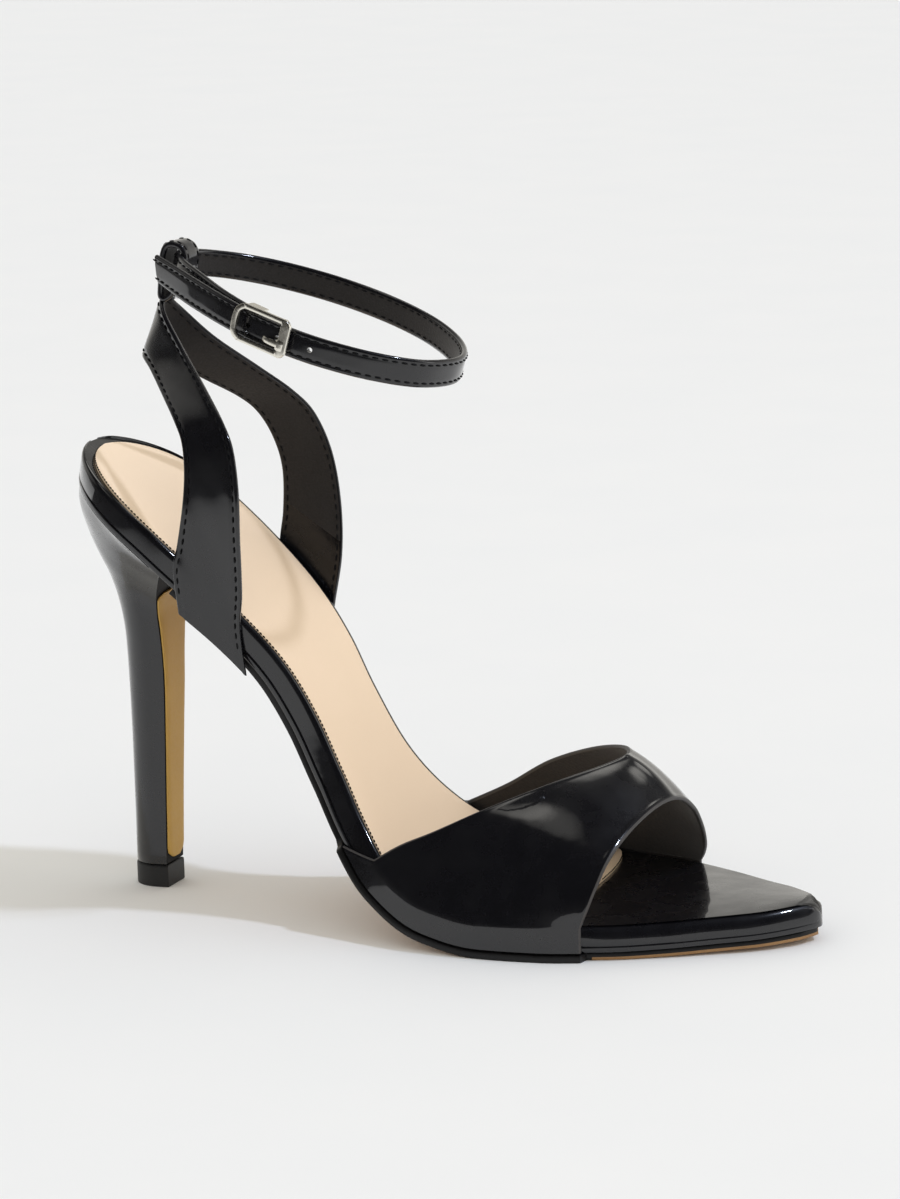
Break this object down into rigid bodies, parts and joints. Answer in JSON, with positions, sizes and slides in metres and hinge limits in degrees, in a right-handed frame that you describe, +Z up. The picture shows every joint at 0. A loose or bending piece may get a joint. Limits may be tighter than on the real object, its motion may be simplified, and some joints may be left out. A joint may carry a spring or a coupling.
{
  "type": "heeled sandal",
  "caption": "Open-toe stiletto sandal for the right foot: vamp band, forked back strap with a loop, buckled ankle strap, nude insole.",
  "frame": {"origin": "middle of the heel's top piece, where it meets the floor", "axes": "+X towards the toe, +Y towards the inner side of the foot, +Z up"},
  "size_m": [0.2038, 0.0806, 0.177],
  "materials": {
    "black_patent": "glossy black patent leather, matte lining behind",
    "nude_lining": "smooth matte nude lining leather",
    "sole_edge": "brown leatherboard, black at the waist's edge",
    "tan_breast": "smooth tan facing",
    "top_piece": "matte black moulded rubber",
    "nickel": "polished nickel plate"
  },
  "bodies": {
    "root": {"outsole": "sole_edge", "footbed": "black_patent", "sock_lining": "nude_lining", "heel": "black_patent", "heel_breast": "tan_breast", "heel_lift": "top_piece", "vamp": "black_patent", "back_strap": "black_patent", "ankle_strap": "black_patent", "buckle_frame": "nickel", "buckle_hook": "nickel"}
  },
  "joints": []
}
